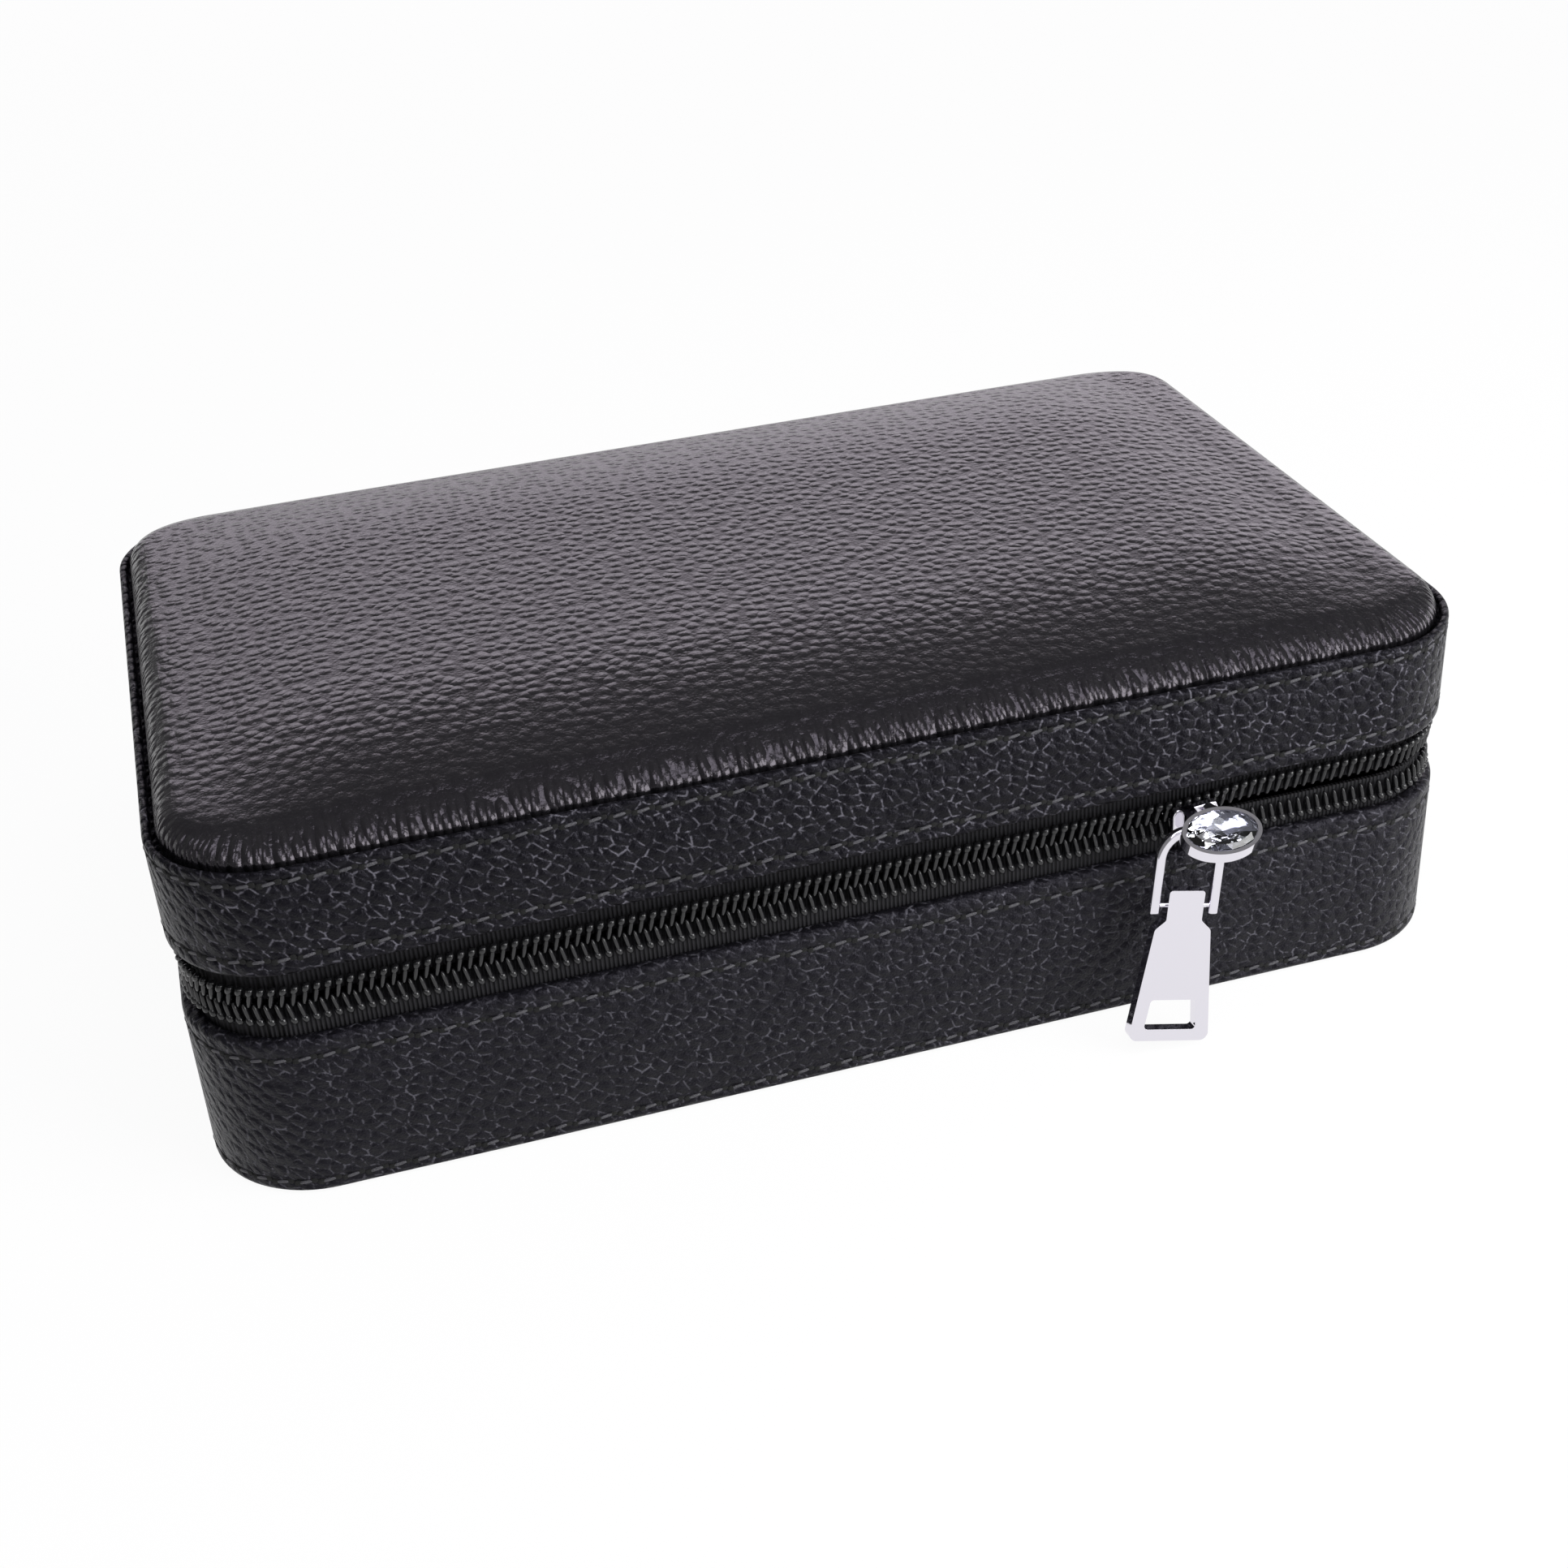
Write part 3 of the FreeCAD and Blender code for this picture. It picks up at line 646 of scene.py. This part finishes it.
def stitches(name, z, body):
    """A row of slanting stitches, each between two needle holes drawn as black blobs: painted shade."""
    thread, thread_faces, hole_shades, hole_shade_faces = [], [], [], []
    for centre, tangent, normal in along(STITCH_INSET, STITCH_PITCH):
        tilted = (tangent + Vector((0, 0, STITCH_SLANT))).normalized()
        axes = (tilted, normal.cross(tilted), normal)
        middle = centre + Vector((0, 0, z))
        halves = (STITCH_LENGTH / 2, STITCH_RADIUS, STITCH_RADIUS)
        capsule(thread, thread_faces, middle, axes, halves)
        for end in (-1, 1):
            hole = middle + tilted * (end * STITCH_LENGTH * HOLE_REACH) - normal * HOLE_SINK
            capsule(hole_shades, hole_shade_faces, hole, axes, HOLE_HALVES)
    place(make_object(name, thread, thread_faces, THREAD), body, "wall_leather")
    # The needle holes are black blobs sunk into the leather: painted shade
    place(make_object(f"{name}_holes", hole_shades, hole_shade_faces, HOLE_SHADE), body, "wall_leather")


def walls():
    place(sweep("base_wall", base_profile(), WALL), "base", "wall_leather", "base_wrap")
    place(sweep("lid_wall", lid_profile(), LID_WALL), "lid", "wall_leather", "lid_wrap")
    for body, rows in (("base", BASE_ROWS), ("lid", LID_ROWS)):
        for number, row in enumerate(rows, 1):
            stitches(f"{body}_stitches_{number}", row, body)


# Padded lid

def pillow(x, y):
    """Height of the crown over the nose's level: steep near the edges, flat over the middle."""
    rise = PAD_CROWN
    for reach, position in ((LENGTH / 2 - PAD_INSET, x), (WIDTH / 2 - PAD_INSET, y)):
        share = min(1.0, max(0.0, (reach - abs(position)) / PAD_SLOPE))
        rise *= 1 - (1 - share) ** 2
    return rise


def pad_ring(kind, value):
    """One closed line round the pad: on its side, its nose, the flank behind the nose or its top."""
    side_top = PAD_SEAT + PAD_SIDE
    ring = []
    for x, y, nx, ny in outline(PAD_INSET):
        half = PAD_END_NOSE + (PAD_NOSE - PAD_END_NOSE) * ny * ny
        rise = PAD_END_RISE + (PAD_RISE - PAD_END_RISE) * ny * ny
        inset, scale, z = 0.0, 1.0, value
        if kind == "nose":
            inset, z = half * (1 - math.cos(value)), side_top + rise * math.sin(value)
        if kind == "flank":
            share = (value - half) / (PAD_FLANK - half)
            inset, z = value, side_top + rise + (PAD_RISE - rise) * eased(share)
        if kind == "top":
            inset, scale, z = PAD_FLANK, value, side_top + PAD_RISE
        x, y = (x - nx * inset) * scale, (y - ny * inset) * scale
        ring.append((x, y, z + pillow(x, y) * min(1.0, inset / half)))
    return ring


def pad():
    """The padded top: a rounded nose that drops into the groove, and a crown over the whole of it."""
    steps = [("side", PAD_SEAT), ("side", PAD_SEAT + PAD_SIDE / 2)]
    steps += [("nose", math.radians(90 * step / PAD_NOSE_STEPS)) for step in range(PAD_NOSE_STEPS + 1)]
    steps += [("flank", inset) for inset in PAD_FLANK_INSETS]
    steps += [("top", 1 - step / PAD_TOP_STEPS) for step in range(1, PAD_TOP_STEPS)]
    rings = [pad_ring(*step) for step in steps]
    points, faces, corners = [point for ring in rings for point in ring], [], []
    across = travel(outline(0) + [outline(0)[0]])
    up = travel([ring[0][1:] for ring in rings])
    for row in range(len(rings) - 1):
        a, b = row * COUNT, (row + 1) * COUNT
        for i in range(COUNT):
            j = (i + 1) % COUNT
            faces.append((a + i, a + j, b + j, b + i))
            corners += [(across[i + end], up[row + level]) for end, level in FACE_CORNERS]
    last, centre = (len(rings) - 1) * COUNT, len(points)
    points.append((0.0, 0.0, PAD_SEAT + PAD_SIDE + PAD_RISE + PAD_CROWN))
    for i in range(COUNT):
        faces.append((last + i, last + (i + 1) % COUNT, centre))
        corners += [(across[i], up[-1]), (across[i + 1], up[-1]), (across[i], up[-1] + PAD_MAP_END)]
    faces.append(list(range(COUNT)))
    corners += [(across[i], 0.0) for i in range(COUNT)]
    piece = make_object("pad", points, faces, PAD, corners)
    place(piece, "lid", "pad_leather", "lid_pad_cover", "lid_pad_foam")


# Zip

def opening_at(centre):
    """How much further off the chain's line a coil stands where the chain is open, past the slider."""
    if centre.x < 0 or (centre.x < OPENING_START and centre.y < 0):
        return 0.0
    if centre.y > FRONT + CORNER_RADIUS:
        return COIL_OPENING
    share = min(1.0, (centre.x - OPENING_START) / OPENING_RUN)
    return COIL_OPENING * eased(share)


def coil(name, side, body, solid):
    """One nylon coil: a slanting bar for each turn, with a fuller round bend at its outer end."""
    points, faces = [], []
    up = Vector((0, 0, side))
    for centre, tangent, normal in along(COIL_INSET, COIL_PITCH, ZIP_RUN):
        off_line = Vector((0, 0, ZIP_Z)) + up * (COIL_OFF_LINE + opening_at(centre))
        middle = centre + tangent * (COIL_PITCH / 4 * side) + off_line
        slant = (-up - tangent * COIL_SLANT).normalized()
        axes = (slant, tangent, normal)
        capsule(points, faces, middle, axes, BAR_HALVES, BAR_BULGE)
        capsule(points, faces, middle - slant * BEND_BACK + normal * BEND_OUT, axes, BEND_HALVES)
    place(make_object(name, points, faces, NYLON), body, "zip_coil", solid)


def tape_profile(low, high):
    return [(TAPE_INSET, low), (TAPE_INSET, high), (BOARD_INSET, high), (BOARD_INSET, low)]


def zips():
    lower = tape_profile(BASE_EDGE - TAPE_LAP, ZIP_Z - TAPE_GAP)
    upper = tape_profile(ZIP_Z + TAPE_GAP, LID_EDGE + TAPE_LAP)
    place(sweep("lower_tape", lower, TAPE_CLOTH, ZIP_RUN), "base", "zip_tape", "zip_tape_lower")
    place(sweep("upper_tape", upper, TAPE_CLOTH, ZIP_RUN), "lid", "zip_tape", "zip_tape_upper")
    coil("lower_coil", -1, "base", "zip_coil_lower")
    coil("upper_coil", 1, "lid", "zip_coil_upper")


def hinge_strip():
    """The leather behind the zip's ends, which on the case bends as the lid opens; here it is swept once
    and joined to no body.
    """
    low, high = BASE_EDGE - TAPE_LAP, LID_EDGE + TAPE_LAP
    rises = [(high - low) * row / HINGE_ROWS for row in range(HINGE_ROWS + 1)]
    profile = [(TAPE_INSET, low + rise) for rise in rises]
    profile += [(BOARD_INSET, high - rise) for rise in rises]
    piece = sweep("hinge_strip", profile, WALL, BACK_RUN)
    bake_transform(piece)
    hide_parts("hinge_strip_lower", "hinge_strip_upper")


# Slider and stone

def plate(name, outline_points, depth, material, bevel):
    """A flat plate from an outline in X and Z, running in Y between two depths."""
    n = len(outline_points)
    points = [(x, y, z) for y in depth for x, z in outline_points]
    faces = [list(range(n)), list(range(n, 2 * n))]
    faces += [(i, (i + 1) % n, n + (i + 1) % n, n + i) for i in range(n)]
    return bevelled(make_object(name, points, faces, material), bevel)


def slider_outline():
    """The slider's plates from their tail to their flared nose, with rounded ends."""
    tail, nose = SLIDER_X - SLIDER_LENGTH / 2, SLIDER_X + SLIDER_LENGTH / 2
    upper = []
    for step in range(SLIDER_STEPS + 1):
        share = step / SLIDER_STEPS
        flare = max(0.0, (share - FLARE_START) / (1 - FLARE_START)) ** FLARE_POWER
        width = SLIDER_TAIL / 2 + (SLIDER_NOSE - SLIDER_TAIL) / 2 * flare
        round_end = min(1.0, share / END_SHARE, (1 - share) / END_SHARE)
        width -= END_ROUND * (1 - math.sqrt(1 - (1 - round_end) ** 2))
        upper.append((tail + (nose - tail) * share, width))
    return [(x, ZIP_Z + z) for x, z in upper] + [(x, ZIP_Z - z) for x, z in reversed(upper)]


def slider():
    """Two plates in front of and behind the coils, and the post between them."""
    face = FRONT + TAPE_INSET - COIL_HEIGHT - PLATE_CLEARANCE
    back_face = FRONT + BOARD_INSET + PLATE_CLEARANCE
    front = plate("slider_front", slider_outline(), (face, face - PLATE), CHROME, PLATE_ROUND)
    place(front, "slider", "chrome", "slider_body")
    back_depth = (back_face, back_face + BACK_PLATE)
    back = plate("slider_back", slider_outline(), back_depth, CHROME, PLATE_ROUND)
    place(back, "slider", "chrome")
    post_x = SLIDER_X + SLIDER_LENGTH / 2 - POST_FROM_NOSE - POST_LENGTH / 2
    half, thick = POST_LENGTH / 2, POST_THICKNESS / 2
    post = [(post_x - half, ZIP_Z), (post_x, ZIP_Z + thick)]
    post += [(post_x + half, ZIP_Z), (post_x, ZIP_Z - thick)]
    place(plate("slider_post", post, (face, back_face), CHROME, POST_ROUND), "slider", "chrome")


def stone():
    """An oval cut stone: a table and two belts of facets over a shallow faceted foot."""
    points, faces = [Vector((0, 0, STONE_TIP))], []
    for share, z, count, shift in STONE_RINGS:
        for side in range(count):
            angle = 2 * math.pi * (side + shift) / count
            x = STONE_HALF[0] * share * math.cos(angle)
            y = STONE_HALF[1] * share * math.sin(angle)
            points.append(Vector((x, y, z)))
    foot = 1
    girdle = foot + STONE_SIDES
    belt = girdle + 2 * STONE_SIDES
    table = belt + 2 * STONE_SIDES
    for i in range(STONE_SIDES):
        j = (i + 1) % STONE_SIDES
        left, middle, right = girdle + 2 * i, girdle + 2 * i + 1, girdle + 2 * j
        faces += [(0, foot + i, foot + j), (foot + i, foot + j, right)]
        faces += [(foot + i, left, middle), (foot + i, middle, right)]
        left, middle, right = belt + 2 * i, belt + 2 * i + 1, belt + 2 * j
        faces += [(left, middle, table + j), (left, table + j, table + i), (middle, right, table + j)]
    for i in range(2 * STONE_SIDES):
        j = (i + 1) % (2 * STONE_SIDES)
        faces += [(girdle + i, girdle + j, belt + i), (girdle + j, belt + j, belt + i)]
    faces.append(list(range(table, table + STONE_SIDES)))
    turn = Matrix.Translation(STONE_CENTRE) @ Matrix.Rotation(STONE_TILT, 4, "X")
    piece = make_object("stone", [turn @ point for point in points], faces, CRYSTAL)
    piece.data.shade_flat()
    place(piece, "slider", "crystal", "crystal")


# Pull

def lean(piece):
    """Turns a piece of the pull from plumb to its leaning rest."""
    pivot = PIVOT * MM
    turn = Matrix.Rotation(-PULL_YAW, 4, "Z") @ Matrix.Rotation(-PULL_LEAN, 4, "X")
    turn = turn @ Matrix.Rotation(PULL_SKEW, 4, "Y")
    turn = Matrix.Translation(pivot) @ turn @ Matrix.Translation(-pivot)
    piece.data.transform(turn)
    return piece


def tube(name, path, radius, sides, material):
    """A wire of rounded-square section along points in a plane of constant Y."""
    points, faces = [], []
    for i, point in enumerate(path):
        ahead = path[min(i + 1, len(path) - 1)] - path[max(i - 1, 0)]
        ahead.normalize()
        across = ahead.cross(Vector((0, 1, 0))).normalized()
        for side in range(sides):
            turn = 2 * math.pi * side / sides
            reach = radius / (math.cos(turn) ** 4 + math.sin(turn) ** 4) ** 0.25
            deep = Vector((0, reach * math.sin(turn), 0))
            points.append(point + across * reach * math.cos(turn) + deep)
    for i in range(len(path) - 1):
        for side in range(sides):
            a, b = i * sides + side, i * sides + (side + 1) % sides
            faces.append((a, b, b + sides, a + sides))
    faces.append(list(range(sides)))
    faces.append(list(range(len(points) - sides, len(points))))
    return make_object(name, points, faces, material)


def bail():
    """The wire loop: a leg, two bends with the level top between them, and the other leg."""
    foot = -BAIL_REACH - BAIL_TOE
    path = [(-BAIL_HALF, foot), (-BAIL_HALF, foot + BAIL_END)]
    for centre_x, first in ((BAIL_BEND - BAIL_HALF, 180), (BAIL_HALF - BAIL_BEND, 90)):
        for step in range(BAIL_STEPS + 1):
            angle = math.radians(first - 90 * step / BAIL_STEPS)
            path.append((centre_x + BAIL_BEND * math.cos(angle), BAIL_BEND * (math.sin(angle) - 1)))
    path += [(BAIL_HALF, foot + BAIL_END), (BAIL_HALF, foot)]
    path = [PIVOT + Vector((x, 0, z)) for x, z in path]
    piece = tube("bail", path, BAIL_RADIUS, BAIL_SIDES, CHROME)
    piece = bevelled(piece, BAIL_ROUND, BAIL_ROUND_ANGLE)
    place(lean(piece), "bail", "chrome", "pull_bail")


def rounded(corners, steps):
    """A closed outline from corners of (x, z, radius), each corner turned on its radius."""
    outline_points = []
    for i, (x, z, radius) in enumerate(corners):
        corner = Vector((x, z))
        before = (Vector(corners[i - 1][:2]) - corner).normalized()
        after = (Vector(corners[(i + 1) % len(corners)][:2]) - corner).normalized()
        half_angle = before.angle(after) / 2
        centre = corner + (before + after).normalized() * (radius / math.sin(half_angle))
        first = corner + before * (radius / math.tan(half_angle)) - centre
        last = corner + after * (radius / math.tan(half_angle)) - centre
        for step in range(steps + 1):
            outline_points.append(centre + first.lerp(last, step / steps).normalized() * radius)
    return outline_points


def pierced_plate(name, outer, inner, depth, material):
    """A plate of constant thickness with one window."""
    build = bmesh.new()
    edges = []
    for loop in (outer, inner):
        corners = [build.verts.new((x * MM, depth[0] * MM, z * MM)) for x, z in loop]
        following = corners[1:] + corners[:1]
        edges += [build.edges.new(pair) for pair in zip(corners, following)]
    filled = bmesh.ops.triangle_fill(build, use_beauty=True, edges=edges)
    made = [item for item in filled["geom"] if isinstance(item, bmesh.types.BMFace)]
    grown = bmesh.ops.extrude_face_region(build, geom=made)
    moved = [item for item in grown["geom"] if isinstance(item, bmesh.types.BMVert)]
    bmesh.ops.translate(build, verts=moved, vec=(0, (depth[1] - depth[0]) * MM, 0))
    bmesh.ops.recalc_face_normals(build, faces=build.faces)
    mesh = bpy.data.meshes.new(name)
    build.to_mesh(mesh)
    build.free()
    mesh.materials.append(material)
    return linked(name, mesh)


def tab():
    """The flared tab with its window, hanging from the bail's lower end."""
    loops = []
    for corners in (TAB_HALF, WINDOW_HALF):
        mirrored = [(-x, z, radius) for x, z, radius in reversed(corners)]
        loop = rounded([*corners, *mirrored], TAB_CORNER_STEPS)
        loops.append([(PIVOT.x + x, PIVOT.z - BAIL_REACH + z) for x, z in loop])
    y = PIVOT.y + TAB_THICKNESS / 2
    piece = pierced_plate("tab", *loops, (y, y - TAB_THICKNESS), CHROME)
    piece = bevelled(piece, TAB_ROUND, TAB_ROUND_ANGLE)
    place(lean(piece), "tab", "chrome", "pull_tab")


# Inside

def box_of(solid):
    """A solid's lowest and highest corners in millimetres."""
    return (Vector(corner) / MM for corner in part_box(solid))


def divider(solid):
    """A padded wall between two bays, with soft edges."""
    low, high = box_of(solid)
    outline_points = [(low.x, low.z), (high.x, low.z), (high.x, high.z), (low.x, high.z)]
    piece = plate(f"{solid}_velvet", outline_points, (low.y, high.y), VELVET, DIVIDER_ROUND)
    place(piece, "base", "velvet", solid)


def roll(number):
    """A foam roll: round-topped, drawn in a little at its ends."""
    low, high = box_of(f"ring_roll_{number}")
    middle, radius = (low.x + high.x) / 2, (high.x - low.x) / 2
    shoulder = high.z - radius
    points, faces = [], []
    for index in range(ROLL_SLICES + 1):
        share = index / ROLL_SLICES
        y = low.y + (high.y - low.y) * share
        reach = radius * (1 - ROLL_DRAW * abs(2 * share - 1) ** ROLL_DRAW_POWER)
        points.append((middle - reach, y, low.z))
        for side in range(ROLL_SIDES + 1):
            angle = math.pi * (1 - side / ROLL_SIDES)
            points.append((middle + reach * math.cos(angle), y, shoulder + reach * math.sin(angle)))
        points.append((middle + reach, y, low.z))
    n = ROLL_SIDES + 3
    for index in range(ROLL_SLICES):
        for side in range(n):
            a, b = index * n + side, index * n + (side + 1) % n
            faces.append((a, b, b + n, a + n))
    faces.append(list(range(n)))
    faces.append(list(range(ROLL_SLICES * n, ROLL_SLICES * n + n)))
    piece = make_object(f"roll_{number}", points, faces, VELVET)
    place(piece, "base", "velvet", f"ring_roll_{number}")


def inside():
    for number in range(1, ROLL_COUNT + 1):
        roll(number)
    for solid in ("partition", "bay_divider_1", "bay_divider_2"):
        divider(solid)


def dress_solids():
    """Finishes for the solids that show as they are."""
    finishes = {
        "base_panel": PANEL,
        "base_board": BOARD_PAPER,
        "lid_board": BOARD_PAPER,
        "base_lining": VELVET,
        "lid_lining": VELVET,
        "mirror": SILVERED,
        "mirror_frame": PANEL,
        "slider_crown": CHROME,
        "crystal_setting": CHROME,
        "pull_pin": CHROME,
    }
    for name, material in finishes.items():
        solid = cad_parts[name]
        solid.data.materials.clear()
        solid.data.materials.append(material)


# Setting: floor, light, camera

def shown_share(tree, share):
    """How much of a surface's own white is shown: to the camera, and in metal and glass."""
    path = node(tree, "ShaderNodeLightPath")
    seen = add(tree, path.outputs["Is Camera Ray"], path.outputs["Is Glossy Ray"])
    seen = add(tree, seen, path.outputs["Is Transmission Ray"])
    return ramp(tree, seen, 0.0, 1.0, 0.0, share)


def floor():
    """A white floor that keeps the object's shadow."""
    bpy.ops.mesh.primitive_plane_add(size=FLOOR_SIZE, location=(0, 0, -FLOOR_DROP))
    ground = bpy.context.object
    ground.name = "floor"
    material, tree, shader = new_material("floor", FLOOR_COLOR, FLOOR_ROUGHNESS)
    shader.inputs["Specular IOR Level"].default_value = 0.0
    glow = node(tree, "ShaderNodeEmission", Strength=1.0)
    mixed = node(tree, "ShaderNodeMixShader")
    tree.links.new(shown_share(tree, FLOOR_SHOWN), mixed.inputs["Fac"])
    tree.links.new(shader.outputs["BSDF"], mixed.inputs[1])
    tree.links.new(glow.outputs["Emission"], mixed.inputs[2])
    tree.links.new(mixed.outputs["Shader"], tree.nodes["Material Output"].inputs["Surface"])
    ground.data.materials.append(material)


def lamp(name, position, target, size, power, color, turn):
    light = bpy.data.lights.new(name, "AREA")
    light.shape = "RECTANGLE"
    light.size, light.size_y = size
    light.energy = power
    light.color = color
    holder = linked(name, light)
    holder.location = position
    aim = (Vector(target) - Vector(position)).to_track_quat("-Z", "Y")
    holder.rotation_euler = (aim @ Quaternion((0, 0, 1), math.radians(turn))).to_euler()


def studio():
    floor()
    world = bpy.data.worlds.new("studio")
    bpy.context.scene.world = world
    world.use_nodes = True
    background = world.node_tree.nodes["Background"]
    background.inputs["Color"].default_value = (*WHITE, 1)
    background.inputs["Strength"].default_value = WORLD_STRENGTH
    for values in LAMPS:
        lamp(*values)


def view():
    camera = bpy.data.cameras.new("camera")
    camera.lens = CAMERA_LENS
    camera.sensor_width = CAMERA_SENSOR
    holder = linked("camera", camera)
    holder.location = CAMERA_PLACE
    holder.rotation_euler = CAMERA_TURN
    bpy.context.scene.camera = holder
    bpy.context.scene.view_settings.view_transform = "Standard"


walls()
pad()
zips()
hinge_strip()
slider()
stone()
bail()
tab()
inside()
dress_solids()
studio()
view()
